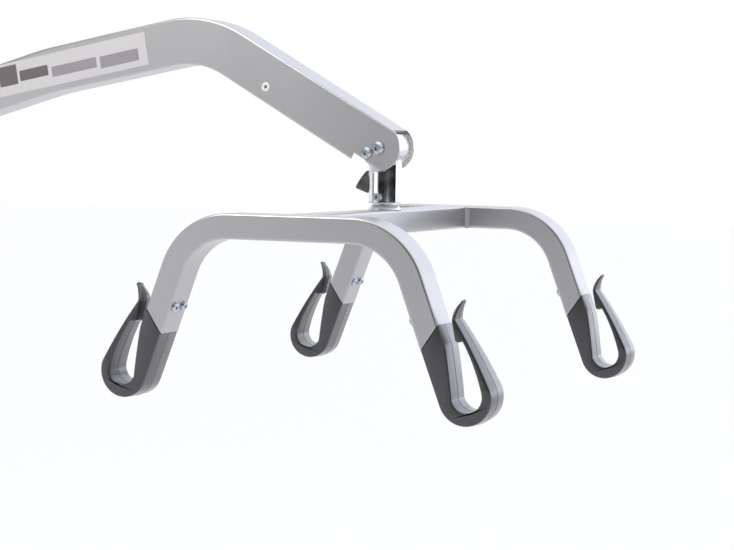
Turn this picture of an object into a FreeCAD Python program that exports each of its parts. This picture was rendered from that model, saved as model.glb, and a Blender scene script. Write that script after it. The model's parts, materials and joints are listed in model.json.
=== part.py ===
import FreeCAD, Part
import math
import os
import re

import Sketcher

# Lifting arm of a patient hoist: a bent box-section boom, a swinging and
# swivelling hanger, and a spreader with four sling hooks.
# Millimetres. The origin is the centre of the mast pivot, +X runs out along
# the boom to the hanger, +Z is up.

SIZES = {
    # boom, a box section bent twice
    "boom_reach": 870,
    "boom_height": 61,
    "boom_width": 45,
    "boom_wall": 3,
    "boom_corner": 3,
    "boom_drop": 1.2,
    "front_slope": 29.5,
    "front_run": 294,
    "middle_slope": 10.2,
    "middle_run": 253,
    "front_bend": 140,
    "rear_bend": 350,
    "rear_overhang": 42,
    # fork at the boom's nose
    "cheek_radius": 29,
    "cheek_depth": 22,
    "cheek_crown": 0.25,
    "fork_back": 27,
    "floor_back": 52,
    "roof_end": 6.5,
    # mast pivot
    "sleeve_radius": 17,
    "mast_bush_radius": 13,
    "mast_pin_radius": 10,
    "mast_flange": 2.5,
    "mast_flange_radius": 17,
    # actuator lug under the boom
    "lug_reach": 212,
    "lug_length": 64,
    "lug_width": 38,
    "lug_gap": 26,
    "lug_drop": 30,
    "lug_base": 5,
    "lug_nose": 14,
    "lug_pin_radius": 6.05,
    # pivot of the hanger
    "pivot_bolt_radius": 5,
    "pivot_head_radius": 8.2,
    "pivot_head_height": 5,
    "pivot_key": 6,
    "pivot_nut_flats": 17,
    "pivot_nut_height": 9.5,
    "stop_bolt_radius": 4,
    "stop_head_radius": 7.3,
    "stop_head_height": 4.4,
    "stop_key": 5,
    "stop_nut_flats": 13,
    "stop_nut_height": 7.5,
    "stop_pitch": 17.1,
    "stop_angle": 202.2,
    "bolt_clearance": 0.1,
    "side_washer": 0.7,
    "side_gap": 0.3,
    "washer_inset": 0.6,
    # hanger
    "hanger_drop": 77.8,
    "barrel_radius": 25.4,
    "barrel_bush_radius": 8,
    "running_gap": 0.05,
    "slot_gap": 0.4,
    "swing_back": 35,
    "swing_out": 45,
    "tube_radius": 21,
    "tube_wall": 3,
    "tube_foot": 10,
    "rim_level": 49,
    "rim_slope": 23.6,
    "cheek_gap": 1.2,
    "spigot_foot": 35.2,
    "lower_bush_top": 20,
    "upper_bush_foot": 28,
    "upper_bush_top": 35,
    "bush_screw_level": 16.5,
    "bush_screw_radius": 3,
    "bush_screw_head": 5.5,
    "bush_screw_height": 4,
    "bush_screw_key": 4,
    # latch
    "latch_width": 16,
    "latch_gap": 0.5,
    "latch_pin_level": 44.5,
    "latch_pin_cover": 4,
    "latch_pin_radius": 1.5,
    "latch_floor_gap": 1.3,
    "latch_top": 49,
    "latch_tip_reach": 38,
    "latch_tip_level": 28,
    "latch_foot": 20.8,
    "latch_boss": 4.5,
    "latch_shoulder": 5.5,
    "latch_bulge": 13.6,
    "latch_bulge_drop": 4.6,
    "latch_lip": 1.8,
    "latch_lip_width": 1.2,
    "latch_round": 0.8,
    "latch_clear": 0.5,
    "nose_foot_gap": 0.9,
    "latch_neck_gap": 1.3,
    "latch_crown_room": 4,
    "pin_inset": 0.3,
    "spring_wire": 0.4,
    "spring_radius": 2.4,
    "spring_width": 3.2,
    "spring_turns": 3,
    "spring_room": 0.5,
    # spindle
    "spindle_radius": 12,
    "spindle_top": 33,
    "spindle_chamfer": 2,
    "groove_radius": 9,
    "groove_foot": 22,
    "groove_top": 27,
    "collar_radius": 21,
    "collar_top_radius": 15.5,
    "collar_height": 8,
    "collar_foot": 1,
    "collar_crown": 1.5,
    "swivel_washer": 1.5,
    "washer_gap": 0.1,
    # spreader
    "bar_pitch": 480,
    "bar_height": 30,
    "bar_width": 40,
    "bar_wall": 2.5,
    "bar_corner": 3,
    "bar_flat": 158,
    "bar_bend": 95,
    "leg_tilt": 20.8,
    "leg_outer": 57,
    "leg_inner": 78,
    "beam_width": 40,
    "weld_leg": 5,
    # sling hooks
    "hook_width": 40,
    "hook_round": 1.5,
    "hook_seat_level": 141,
    "hook_seat_radius": 17.8,
    "hook_seat_offset": 5,
    "hook_rim_radius": 32,
    "hook_shoulder": 83,
    "hook_gate": 11,
    "hook_tooth": 83,
    "hook_neck": 57,
    "hook_lip_level": 36,
    "hook_lip_reach": 29,
    "tongue_width": 26,
    "core_thickness": 6,
    "core_width": 6,
    "core_gap": 0.3,
    "core_top": 10,
    "hook_screw_level": 44,
    "hook_screw_pitch": 20,
    "hook_screw_radius": 3,
    "hook_screw_head": 5.6,
    "hook_screw_height": 3.6,
    "hook_screw_length": 14,
    "hook_screw_key": 4,
    # small trim on the boom
    "grommet_reach": 178,
    "grommet_drop": 11.8,
    "grommet_radius": 6,
    "grommet_bore": 2.3,
    "grommet_shank": 4.2,
    "grommet_flange": 1.4,
    "label_reach": 88,
    "label_length": 290,
    "label_height": 44,
    "label_thickness": 0.3,
}

doc = FreeCAD.newDocument("LiftArm")
sheet = doc.addObject("Spreadsheet::Sheet", "Sizes")
for row, (alias, value) in enumerate(SIZES.items(), start=1):
    sheet.set(f"A{row}", alias)
    sheet.set(f"B{row}", str(value))
    sheet.setAlias(f"B{row}", alias)
doc.recompute()

SUBPARTS = []
Vector = FreeCAD.Vector
WORD = re.compile(r"[a-z][a-z_]*")


def size(alias):
    """The value of one cell of the sheet."""
    return float(sheet.get(alias))


def bound(text):
    """The expression for text, in which sheet words stand alone."""
    return WORD.sub(lambda m: "Sizes." + m[0] if m[0] in SIZES else m[0], str(text))


def number(text):
    """What an expression comes to now."""
    result = sheet.evalExpression(bound(text))
    return float(getattr(result, "Value", result))


# ---------------------------------------------------------------- helpers


def new_body(label):
    """A PartDesign body that is one sub-part."""
    body = doc.addObject("PartDesign::Body", label)
    body.Label = label
    SUBPARTS.append(body)
    return body


def new_feature(label, shape, placement=None):
    """A Part::Feature that is one sub-part, with its shape and place."""
    item = doc.addObject("Part::Feature", label)
    item.Label = label
    item.Shape = shape
    if placement is not None:
        item.Placement = placement.multiply(shape.Placement)
    SUBPARTS.append(item)
    return item


def new_sketch(body, role, name, level=None):
    """A sketch on one of the body's origin planes, raised by level."""
    sketch = body.newObject("Sketcher::SketchObject", f"{body.Name}_{name}")
    plane = next(f for f in body.Origin.OriginFeatures if f.Role == role)
    sketch.AttachmentSupport = [(plane, "")]
    sketch.MapMode = "FlatFace"
    if level is not None:
        sketch.setExpression("AttachmentOffset.Base.z", bound(level))
    return sketch


def pin_point(sketch, geometry, end, across, up):
    """Ties a point of a sketch to two expressions."""
    for kind, text in (("DistanceX", across), ("DistanceY", up)):
        index = sketch.addConstraint(
            Sketcher.Constraint(kind, -1, 1, geometry, end, number(text)))
        sketch.setExpression(f"Constraints[{index}]", bound(text))


def add_polygon(sketch, corners):
    """A closed outline through corners, each a pair of expressions."""
    spots = [Vector(number(a), number(b), 0) for a, b in corners]
    first = sketch.GeometryCount
    count = len(spots)
    for k in range(count):
        sketch.addGeometry(Part.LineSegment(spots[k], spots[(k + 1) % count]))
    for k in range(count):
        sketch.addConstraint(
            Sketcher.Constraint("Coincident", first + k, 2, first + (k + 1) % count, 1))
    for k, (across, up) in enumerate(corners):
        pin_point(sketch, first + k, 1, across, up)


def add_circle(sketch, across, up, radius):
    """A circle at a pair of expressions."""
    centre = Vector(number(across), number(up), 0)
    index = sketch.addGeometry(Part.Circle(centre, Vector(0, 0, 1), number(radius)))
    pin_point(sketch, index, 3, across, up)
    rule = sketch.addConstraint(Sketcher.Constraint("Radius", index, number(radius)))
    sketch.setExpression(f"Constraints[{rule}]", bound(radius))


def rectangle(width, height, centre_up="0"):
    """Corners of a rectangle centred across, as expressions."""
    half = f"({width}) / 2"
    top = f"({centre_up}) + ({height}) / 2"
    foot = f"({centre_up}) - ({height}) / 2"
    return [(f"-{half}", foot), (half, foot), (half, top), (f"-{half}", top)]


def pad(body, sketch, length, midplane=False, reverse=False):
    """Pads a sketch by an expression's length."""
    feature = body.newObject("PartDesign::Pad", f"{sketch.Name}_pad")
    feature.Profile = sketch
    feature.setExpression("Length", bound(length))
    feature.SideType = "Symmetric" if midplane else "One side"
    feature.Reversed = reverse
    doc.recompute()
    return feature


def pocket(body, sketch, length, midplane=False, reverse=False):
    """Cuts a sketch into the body, and makes sure that it cut something."""
    before = body.Shape.Volume
    feature = body.newObject("PartDesign::Pocket", f"{sketch.Name}_cut")
    feature.Profile = sketch
    feature.setExpression("Length", bound(length))
    feature.SideType = "Symmetric" if midplane else "One side"
    feature.Reversed = reverse
    doc.recompute()
    if not body.Shape.Volume < before - 1e-3:
        raise RuntimeError(f"{feature.Name} cuts nothing")
    return feature


def revolve(body, sketch):
    """Turns a sketch about its upright axis."""
    feature = body.newObject("PartDesign::Revolution", f"{sketch.Name}_turn")
    feature.Profile = sketch
    feature.ReferenceAxis = (sketch, ["V_Axis"])
    feature.Angle = 360
    doc.recompute()
    return feature


def round_edges(body, radius, wanted):
    """Fillets the edges of the body's tip that wanted picks."""
    names = [f"Edge{k}" for k, edge in enumerate(body.Shape.Edges, start=1) if wanted(edge)]
    if not names:
        raise RuntimeError(f"{body.Label} has no edge to round")
    base = body.Tip
    feature = body.newObject("PartDesign::Fillet", f"{body.Name}_round")
    feature.Base = (base, names)
    feature.setExpression("Radius", bound(radius))
    doc.recompute()
    return feature


def turned(label, corners):
    """A lathe-turned sub-part: corners are (radius, height) expressions."""
    body = new_body(label)
    sketch = new_sketch(body, "XZ_Plane", "profile")
    add_polygon(sketch, corners)
    revolve(body, sketch)
    return body


def place(item, across, away, up, rotation=None):
    """Moves a sub-part to three expressions, turned by rotation."""
    item.Placement = FreeCAD.Placement(Vector(), rotation or FreeCAD.Rotation())
    for axis, text in (("x", across), ("y", away), ("z", up)):
        item.setExpression(f"Placement.Base.{axis}", bound(text))


def cut_hexagon(body, key, level, depth, reverse):
    """A hexagon socket of a key size, cut from a level."""
    sketch = new_sketch(body, "XY_Plane", "socket", level)
    corner = f"({key}) / 2 / cos(30)"
    add_polygon(sketch, [(f"{corner} * cos({60 * k})", f"{corner} * sin({60 * k})")
                         for k in range(6)])
    pocket(body, sketch, depth, reverse=reverse)


def domed_bolt(label, shank, head, height, length, key):
    """A button-head bolt, its head below zero and its shank above it."""
    body = turned(label, [
        ("0", length), (shank, length), (shank, "0"), (head, "0"),
        (head, f"-0.35 * ({height})"), (f"0.6 * ({head})", f"-({height})"), ("0", f"-({height})")])
    rim = number(head)
    level = -0.35 * number(height)
    round_edges(body, f"0.3 * ({height})", lambda edge: (
        isinstance(edge.Curve, Part.Circle)
        and abs(edge.Curve.Radius - rim) < 1e-6
        and abs(edge.Curve.Center.z - level) < 1e-6))
    cut_hexagon(body, key, f"-({height})", f"0.6 * ({height})", reverse=True)
    return body


def lock_nut(label, flats, height, bore):
    """A hexagon lock nut with a turned collar, standing on zero."""
    body = new_body(label)
    sketch = new_sketch(body, "XY_Plane", "hexagon")
    corner = f"({flats}) / 2 / cos(30)"
    add_polygon(sketch, [(f"{corner} * cos({60 * k})", f"{corner} * sin({60 * k})")
                         for k in range(6)])
    add_circle(sketch, "0", "0", bore)
    pad(body, sketch, f"0.7 * ({height})")
    ring = new_sketch(body, "XY_Plane", "collar", f"0.7 * ({height})")
    add_circle(ring, "0", "0", f"0.44 * ({flats})")
    add_circle(ring, "0", "0", bore)
    pad(body, ring, f"0.3 * ({height})")
    return body


def ring(label, outer, inner, thickness):
    """A plain washer or bush that stands on zero."""
    return turned(label, [(inner, "0"), (outer, "0"), (outer, thickness), (inner, thickness)])


# ---------------------------------------------------------------- outlines


def tilted(angle):
    """Unit vector in the XZ plane, angle degrees from +X towards +Z."""
    turn = math.radians(angle)
    return Vector(math.cos(turn), 0, math.sin(turn))


def shifted_path(points, bends, shift):
    """Edges of a bent path moved sideways: positive shift lies to its left."""
    runs = []
    for start, end in zip(points, points[1:]):
        along = (end - start).normalize()
        left = Vector(-along.z, 0, along.x)
        runs.append((start + left * shift, end + left * shift, along))
    edges = []
    here = runs[0][0]
    for (start, end, along), (_, _, onward), corner, bend in zip(
            runs, runs[1:], points[1:-1], bends):
        turn = along.getAngle(onward)
        side = 1 if along.x * onward.z - along.z * onward.x > 0 else -1
        radius = bend - side * shift
        trim = bend * math.tan(turn / 2)
        left = Vector(-along.z, 0, along.x)
        left_after = Vector(-onward.z, 0, onward.x)
        enter = corner - along * trim + left * shift
        leave = corner + onward * trim + left_after * shift
        centre = enter + left * side * radius
        outward = ((enter - centre) + (leave - centre)).normalize()
        edges.append(Part.LineSegment(here, enter).toShape())
        edges.append(Part.Arc(enter, centre + outward * radius, leave).toShape())
        here = leave
    edges.append(Part.LineSegment(here, runs[-1][1]).toShape())
    return edges


def prism(edges, width):
    """The solid of a closed XZ outline, width thick about its plane."""
    face = Part.Face(Part.Wire(Part.__sortEdges__(edges)))
    solid = face.extrude(Vector(0, width, 0))
    solid.translate(Vector(0, -width / 2, 0))
    return solid


def closed(one_side, other_side):
    """One outline from the edges of two sides that run the same way."""
    starts = (one_side[0].Vertexes[0].Point, other_side[0].Vertexes[0].Point)
    ends = (one_side[-1].Vertexes[-1].Point, other_side[-1].Vertexes[-1].Point)
    caps = [Part.LineSegment(*starts).toShape(), Part.LineSegment(*ends).toShape()]
    return one_side + other_side + caps


def round_along(solid, edges, half_width, radius):
    """Fillets the solid's edges that lie over the given outline edges."""
    chosen = []
    for edge in solid.Edges:
        middle = edge.valueAt((edge.FirstParameter + edge.LastParameter) / 2)
        if abs(abs(middle.y) - half_width) > 1e-6:
            continue
        spot = Part.Vertex(middle.x, 0, middle.z)
        if min(spot.distToShape(line)[0] for line in edges) < 1e-5:
            chosen.append(edge)
    return solid.makeFillet(radius, chosen)


def outline(steps):
    """Edges through steps: an (x, z) pair ends a line, two pairs an arc."""
    edges = []
    here = Vector(steps[0][0], 0, steps[0][1])
    for step in steps[1:]:
        if isinstance(step[0], tuple):
            through = Vector(step[0][0], 0, step[0][1])
            end = Vector(step[1][0], 0, step[1][1])
            edges.append(Part.Arc(here, through, end).toShape())
        else:
            end = Vector(step[0], 0, step[1])
            edges.append(Part.LineSegment(here, end).toShape())
        here = end
    return edges


def cylinder_along_y(radius, width, centre):
    """A cylinder across the arm, centred on the middle plane."""
    return Part.makeCylinder(radius, width, centre - Vector(0, width / 2, 0), Vector(0, 1, 0))


# ---------------------------------------------------------------- boom


def boom_frame():
    """Corner points of the boom's centre line, from the nose back."""
    pivot = Vector(size("boom_reach"), 0, 0)
    back = tilted(180 - size("front_slope"))
    above = tilted(90 - size("front_slope"))
    nose = pivot - above * size("boom_drop")
    front = nose + back * size("front_run")
    rear = front - tilted(size("middle_slope")) * size("middle_run")
    tail = rear * (-size("rear_overhang") / rear.Length)
    return nose, front, rear, tail


def fork_keep(pivot):
    """Side outline of the two cheeks, as a prism wider than the boom."""
    radius = size("cheek_radius")
    depth = size("cheek_depth")
    back = size("fork_back")
    crown = size("cheek_crown")
    roof = size("boom_height") / 2 - size("boom_drop")
    reach = math.sqrt(radius ** 2 - depth ** 2)
    edges = outline([
        (-back, roof), (size("roof_end"), roof),
        ((radius * math.cos(crown), radius * math.sin(crown)), (reach, -depth)),
        (-back, -depth), (-back, roof)])
    keep = prism(edges, 3 * size("boom_width"))
    keep.rotate(Vector(), Vector(0, 1, 0), size("front_slope"))
    keep.translate(pivot)
    return keep


def fork_box(pivot, back, foot, long, high, wide):
    """A box in the nose's own directions, placed from the pivot."""
    box = Part.makeBox(long, wide, high, Vector(back, -wide / 2, foot))
    box.rotate(Vector(), Vector(0, 1, 0), size("front_slope"))
    box.translate(pivot)
    return box


def make_boom_tube():
    """The bent box section, with its fork, bores and grommet holes."""
    pivot = Vector(size("boom_reach"), 0, 0)
    height = size("boom_height")
    width = size("boom_width")
    wall = size("boom_wall")
    nose, front, rear, tail = boom_frame()
    nose_end = nose + (nose - front).normalize() * 2 * size("cheek_radius")
    points = [nose_end, front, rear, tail]
    bends = [size("front_bend"), size("rear_bend")]
    top = shifted_path(points, bends, -height / 2)
    foot = shifted_path(points, bends, height / 2)
    tube = prism(closed(top, foot), width)
    tube = round_along(tube, top + foot, width / 2, size("boom_corner"))
    inside_points = [nose_end + (nose - front).normalize(), front, rear,
                     tail + (tail - rear).normalize()]
    inside = prism(closed(shifted_path(inside_points, bends, wall - height / 2),
                          shifted_path(inside_points, bends, height / 2 - wall)),
                   width - 2 * wall)
    tube = tube.cut(inside)
    beyond = fork_box(pivot, -size("fork_back"), -height, 6 * size("cheek_radius"),
                      2 * height, 2 * width)
    tube = tube.cut(beyond.cut(fork_keep(pivot)))
    tube = tube.cut(fork_box(pivot, size("roof_end"), 0, height, height, width - 2 * wall))
    tube = tube.cut(fork_box(pivot, -size("floor_back"), -height, size("floor_back"), height,
                             width - 2 * wall))
    stop = pivot + tilted(size("stop_angle")) * size("stop_pitch")
    clearance = size("bolt_clearance")
    bores = [
        (size("pivot_bolt_radius") + clearance, pivot),
        (size("stop_bolt_radius") + clearance, stop),
        (size("sleeve_radius"), Vector()),
        (size("grommet_shank"), grommet_spot()),
    ]
    for radius, centre in bores:
        tube = tube.cut(cylinder_along_y(radius, 2 * width, centre))
    new_feature("boom_tube", tube.removeSplitter())


def grommet_spot():
    """Where the grommets sit, in the middle plane."""
    nose = boom_frame()[0]
    back = tilted(180 - size("front_slope"))
    above = tilted(90 - size("front_slope"))
    return nose + back * size("grommet_reach") - above * size("grommet_drop")


def make_mast_pivot():
    """The cross sleeve that is welded in, and its two flanged bushes."""
    width = "boom_width + 4"
    sleeve = ring("mast_sleeve", "sleeve_radius", "mast_bush_radius", width)
    place(sleeve, "0", f"-({width}) / 2", "0", FreeCAD.Rotation(Vector(1, 0, 0), -90))
    for label, side in (("mast_bush_near", -1), ("mast_bush_far", 1)):
        bush = turned(label, [
            ("mast_pin_radius", "-mast_flange"), ("mast_flange_radius", "-mast_flange"),
            ("mast_flange_radius", "0"), ("mast_bush_radius", "0"),
            ("mast_bush_radius", "boom_width / 2"), ("mast_pin_radius", "boom_width / 2")])
        place(bush, "0", f"{side} * ({width}) / 2", "0",
              FreeCAD.Rotation(Vector(1, 0, 0), side * 90))


def make_rear_cap():
    """The plastic plug in the boom's rear end."""
    _, _, rear, tail = boom_frame()
    body = new_body("rear_cap")
    flange = new_sketch(body, "XY_Plane", "flange")
    add_polygon(flange, rectangle("boom_height", "boom_width"))
    pad(body, flange, "boom_wall")
    plug = new_sketch(body, "XY_Plane", "plug")
    add_polygon(plug, rectangle("boom_height - 2 * boom_wall - 0.2",
                                "boom_width - 2 * boom_wall - 0.2"))
    pad(body, plug, "4 * boom_wall", reverse=True)
    corner = size("boom_height") / 2
    round_edges(body, "boom_corner", lambda edge: (
        abs(edge.Length - size("boom_wall")) < 1e-6
        and abs(abs(edge.Vertexes[0].Point.x) - corner) < 1e-6))
    outward = (tail - rear).normalize()
    body.Placement = FreeCAD.Placement(tail, FreeCAD.Rotation(
        Vector(outward.z, 0, -outward.x), Vector(0, 1, 0), outward, "ZXY"))


def make_actuator_lug():
    """The two-eared lug under the boom that an actuator pushes on."""
    body = new_body("actuator_lug")
    side = new_sketch(body, "XZ_Plane", "side")
    add_polygon(side, [
        ("-lug_length / 2", "0"), ("lug_length / 2", "0"), ("lug_length / 2", "-lug_base"),
        ("lug_nose", "-lug_drop - lug_nose"), ("-lug_nose", "-lug_drop - lug_nose"),
        ("-lug_length / 2", "-lug_base")])
    pad(body, side, "lug_width", midplane=True)
    foot = -size("lug_drop") - size("lug_nose")
    round_edges(body, "0.7 * lug_nose", lambda edge: all(
        abs(v.Point.z - foot) < 1e-6 and abs(abs(v.Point.x) - size("lug_nose")) < 1e-6
        for v in edge.Vertexes))
    gap = new_sketch(body, "YZ_Plane", "gap")
    add_polygon(gap, [("-lug_gap / 2", "-lug_base"), ("lug_gap / 2", "-lug_base"),
                      ("lug_gap / 2", "-2 * lug_drop"), ("-lug_gap / 2", "-2 * lug_drop")])
    pocket(body, gap, "2 * lug_length", midplane=True)
    bore = new_sketch(body, "XZ_Plane", "bore")
    add_circle(bore, "0", "-lug_drop", "lug_pin_radius")
    pocket(body, bore, "2 * lug_width", midplane=True)
    _, _, rear, tail = boom_frame()
    along = (rear - tail).normalize()
    under = Vector(along.z, 0, -along.x)
    body.Placement = FreeCAD.Placement(
        along * size("lug_reach") + under * size("boom_height") / 2,
        FreeCAD.Rotation(Vector(0, 1, 0), -math.degrees(math.atan2(along.z, along.x))))


def make_boom_trim():
    """Two grommets in the side walls, and the film label on one side."""
    spot = grommet_spot()
    for label, side in (("grommet_near", -1), ("grommet_far", 1)):
        grommet = turned(label, [
            ("grommet_bore", "-grommet_flange"), ("0.8 * grommet_radius", "-grommet_flange"),
            ("grommet_radius", "-0.4 * grommet_flange"), ("grommet_radius", "0"),
            ("grommet_shank", "0"), ("grommet_shank", "boom_wall + 1"),
            ("grommet_bore", "boom_wall + 1")])
        place(grommet, spot.x, f"{side} * boom_width / 2", spot.z,
              FreeCAD.Rotation(Vector(1, 0, 0), side * 90))
    _, front, _, _ = boom_frame()
    start = front - tilted(size("middle_slope")) * size("label_reach")
    label = doc.addObject("Part::Box", "label_film")
    label.Label = "label_film"
    label.setExpression("Length", bound("label_length"))
    label.setExpression("Width", bound("label_thickness"))
    label.setExpression("Height", bound("label_height"))
    far_end = start - tilted(size("middle_slope")) * size("label_length")
    corner = far_end - tilted(90 + size("middle_slope")) * size("label_height") / 2
    label.Placement = FreeCAD.Placement(
        corner - Vector(0, size("boom_width") / 2 + size("label_thickness"), 0),
        FreeCAD.Rotation(Vector(0, 1, 0), -size("middle_slope")))
    SUBPARTS.append(label)


def make_fork_bolts():
    """Pivot bolt and stop bolt, and their lock nuts."""
    into = FreeCAD.Rotation(Vector(1, 0, 0), -90)
    across = "boom_reach"
    stop_across = "boom_reach + stop_pitch * cos(stop_angle)"
    stop_up = "stop_pitch * sin(stop_angle)"
    pivot_bolt = domed_bolt("pivot_bolt", "pivot_bolt_radius", "pivot_head_radius",
                            "pivot_head_height", "boom_width + pivot_nut_height + 2",
                            "pivot_key")
    place(pivot_bolt, across, "-boom_width / 2", "0", into)
    pivot_nut = lock_nut("pivot_nut", "pivot_nut_flats", "pivot_nut_height",
                         "pivot_bolt_radius")
    place(pivot_nut, across, "boom_width / 2", "0", into)
    stop_bolt = domed_bolt("stop_bolt", "stop_bolt_radius", "stop_head_radius",
                           "stop_head_height", "boom_width + stop_nut_height + 2", "stop_key")
    place(stop_bolt, stop_across, "-boom_width / 2", stop_up, into)
    stop_nut = lock_nut("stop_nut", "stop_nut_flats", "stop_nut_height", "stop_bolt_radius")
    place(stop_nut, stop_across, "boom_width / 2", stop_up, into)


def make_side_washers():
    """Two plastic liners that keep the barrel off the cheeks."""
    pivot = Vector(size("boom_reach"), 0, 0)
    inset = size("washer_inset")
    thick = size("side_washer")
    clearance = size("bolt_clearance")
    inner = size("boom_width") / 2 - size("boom_wall")
    low = inset - size("cheek_depth")
    high = size("boom_height") / 2 - size("boom_drop") - size("boom_wall") - inset
    radius = size("cheek_radius") - inset
    stop = pivot + tilted(size("stop_angle")) * size("stop_pitch")
    room = fork_box(pivot, -2 * radius, low, 4 * radius, high - low, 2 * inner)
    for label, side in (("side_washer_near", -1), ("side_washer_far", 1)):
        middle = pivot + Vector(0, side * (inner - thick / 2), 0)
        disc = cylinder_along_y(radius, thick, middle).common(room)
        for hole, centre in ((size("pivot_bolt_radius"), pivot),
                             (size("stop_bolt_radius"), stop)):
            disc = disc.cut(cylinder_along_y(hole + clearance, 4 * inner, centre))
        new_feature(label, disc)


# ---------------------------------------------------------------- hanger


def rim_cutter(above):
    """The half space above or below the tube's slanted rim."""
    span = 200
    box = Part.makeBox(span, span, span, Vector(-span / 2, -span / 2, 0 if above else -span))
    box.rotate(Vector(), Vector(0, 1, 0), -size("rim_slope"))
    box.translate(Vector(0, 0, size("rim_level")))
    return box


def cheek_relief(half_width):
    """Room for the fork's two cheeks, outside half_width."""
    relief = size("cheek_radius") + size("cheek_gap")
    centre = Vector(0, 0, size("hanger_drop"))
    width = 3 * size("boom_width")
    whole = cylinder_along_y(relief, width, centre)
    return whole.cut(cylinder_along_y(relief + 1, 2 * half_width, centre))


def stop_slot(centre):
    """The closed arc slot that the stop bolt runs in."""
    pitch = size("stop_pitch")
    half = size("stop_bolt_radius") + size("slot_gap")
    first = size("stop_angle") - size("swing_out")
    last = size("stop_angle") + size("swing_back")
    inner = pitch - half
    outer = pitch + half
    middle = (first + last) / 2

    def spot(radius, angle):
        return centre + tilted(angle) * radius
    edges = [
        Part.Arc(spot(inner, first), spot(inner, middle), spot(inner, last)).toShape(),
        Part.Arc(spot(inner, last), spot(pitch, last) + tilted(last + 90) * half,
                 spot(outer, last)).toShape(),
        Part.Arc(spot(outer, last), spot(outer, middle), spot(outer, first)).toShape(),
        Part.Arc(spot(outer, first), spot(pitch, first) - tilted(first + 90) * half,
                 spot(inner, first)).toShape()]
    return prism(edges, 3 * size("boom_width"))


def pin_reach():
    """How far the latch pin stands from the tube's axis."""
    return size("tube_radius") - size("latch_pin_cover")


def latch_floor():
    """How far the slot's floor stands from the tube's axis."""
    return pin_reach() - size("latch_boss") - size("latch_floor_gap")


def latch_room(foot, top):
    """The slot for the latch lever, open on the mast side."""
    width = size("latch_width") + 2 * size("latch_gap")
    return Part.makeBox(4 * size("tube_radius"), width, top - foot,
                        Vector(-latch_floor() - 4 * size("tube_radius"), -width / 2, foot))


def stem_place():
    """The place of pieces that are drawn from the spreader's top plane."""
    return FreeCAD.Placement(
        Vector(size("boom_reach"), 0, -size("hanger_drop")), FreeCAD.Rotation())


def barrel_width():
    """Width of the hanger's barrel between its side washers."""
    return (size("boom_width") - 2 * size("boom_wall")
            - 2 * size("side_washer") - 2 * size("side_gap"))


def make_pivot_head():
    """Barrel, neck and spigot of the hanger, in one casting."""
    pivot = Vector(0, 0, size("hanger_drop"))
    radius = size("tube_radius")
    width = barrel_width()
    neck = Part.makeCylinder(radius, size("hanger_drop") - size("spigot_foot"),
                             Vector(0, 0, size("spigot_foot")))
    neck = neck.common(rim_cutter(above=True))
    neck = neck.cut(cheek_relief(width / 2))
    spigot = Part.makeCylinder(radius - size("tube_wall"),
                               size("rim_level") - size("spigot_foot"),
                               Vector(0, 0, size("spigot_foot")))
    spigot = spigot.cut(cheek_relief(width / 2))
    head = cylinder_along_y(size("barrel_radius"), width, pivot).fuse([neck, spigot])
    head = head.cut(cylinder_along_y(size("barrel_bush_radius"), 2 * width, pivot))
    head = head.cut(stop_slot(pivot))
    head = head.cut(latch_room(0, size("latch_top") + size("latch_crown_room")))
    pin = Vector(-pin_reach(), 0, size("latch_pin_level"))
    head = head.cut(cylinder_along_y(size("latch_pin_radius"), 2 * radius, pin))
    new_feature("pivot_head", head.removeSplitter(), stem_place())


def make_socket_tube():
    """The chrome tube, with its slanted rim, latch window and screw holes."""
    radius = size("tube_radius")
    foot = size("tube_foot")
    high = size("hanger_drop") - foot
    tube = Part.makeCylinder(radius, high, Vector(0, 0, foot))
    tube = tube.cut(Part.makeCylinder(radius - size("tube_wall"), high, Vector(0, 0, foot)))
    tube = tube.cut(rim_cutter(above=True))
    tube = tube.cut(cheek_relief(barrel_width() / 2))
    tube = tube.cut(latch_room(size("lower_bush_top"), size("hanger_drop")))
    level = Vector(0, 0, size("bush_screw_level"))
    tube = tube.cut(cylinder_along_y(size("bush_screw_radius"), 3 * radius, level))
    new_feature("socket_tube", tube, stem_place())


def make_stem_bushes():
    """Barrel bush, and the two bushes that the spindle turns in."""
    width = ("boom_width - 2 * boom_wall - 2 * side_washer - 2 * side_gap")
    barrel_bush = ring("barrel_bush", "barrel_bush_radius", "pivot_bolt_radius + running_gap",
                       width)
    place(barrel_bush, "boom_reach", f"-({width}) / 2", "0",
          FreeCAD.Rotation(Vector(1, 0, 0), -90))
    outer = "tube_radius - tube_wall"
    bore = "spindle_radius + running_gap"
    lower = ring("lower_bush", outer, bore, "lower_bush_top - tube_foot - 0.5")
    cut = new_sketch(lower, "XZ_Plane", "screw_hole")
    add_circle(cut, "0", "bush_screw_level - tube_foot - 0.5", "bush_screw_radius")
    pocket(lower, cut, "4 * tube_radius", midplane=True)
    place(lower, "boom_reach", "0", "tube_foot + 0.5 - hanger_drop")
    upper = ring("upper_bush", outer, bore, "upper_bush_top - upper_bush_foot")
    slot = new_sketch(upper, "XY_Plane", "latch_slot")
    half = "(latch_width / 2 + latch_gap)"
    floor = "(latch_pin_cover + latch_boss + latch_floor_gap - tube_radius)"
    add_polygon(slot, [("-2 * tube_radius", f"-{half}"), (floor, f"-{half}"),
                       (floor, half), ("-2 * tube_radius", half)])
    pocket(upper, slot, "upper_bush_top - upper_bush_foot", reverse=True)
    place(upper, "boom_reach", "0", "upper_bush_foot - hanger_drop")


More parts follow.
